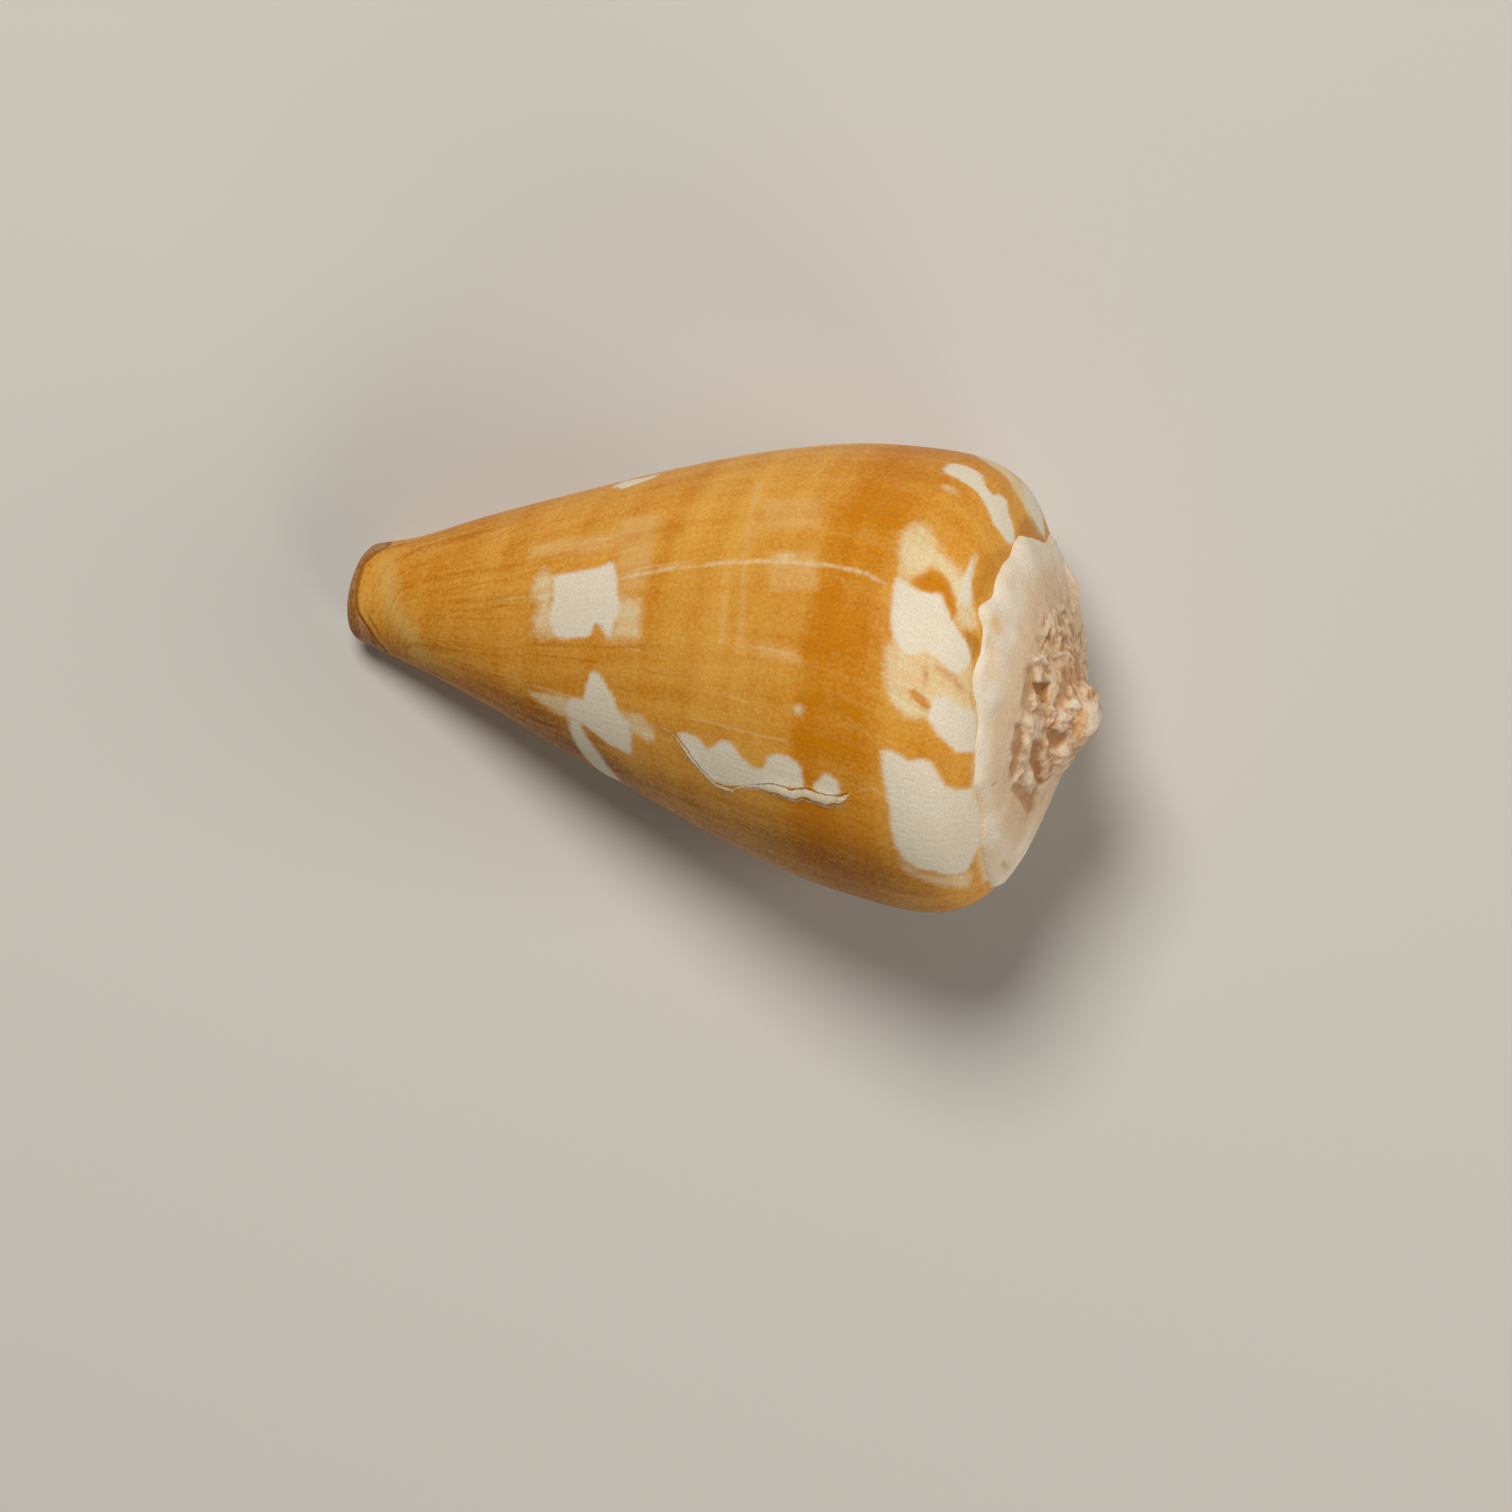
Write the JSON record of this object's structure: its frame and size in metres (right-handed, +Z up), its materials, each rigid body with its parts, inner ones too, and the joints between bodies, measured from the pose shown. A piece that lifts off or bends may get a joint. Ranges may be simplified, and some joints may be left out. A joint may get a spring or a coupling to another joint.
{
  "type": "cone shell",
  "caption": "Small empty cone-shaped sea shell with rounded shoulders and a worn, overgrown low spire, lying on its slit opening.",
  "frame": {"origin": "middle of the shell's footprint box, on the surface that it lies on", "axes": "+X horizontally from the narrow front end to the spire, in the upright plane through the coil's axis; +Z up"},
  "size_m": [0.0234, 0.014, 0.013],
  "materials": {
    "shell": "satin orange shell with irregular white patches"
  },
  "bodies": {
    "root": {"shell": "shell"}
  },
  "joints": []
}
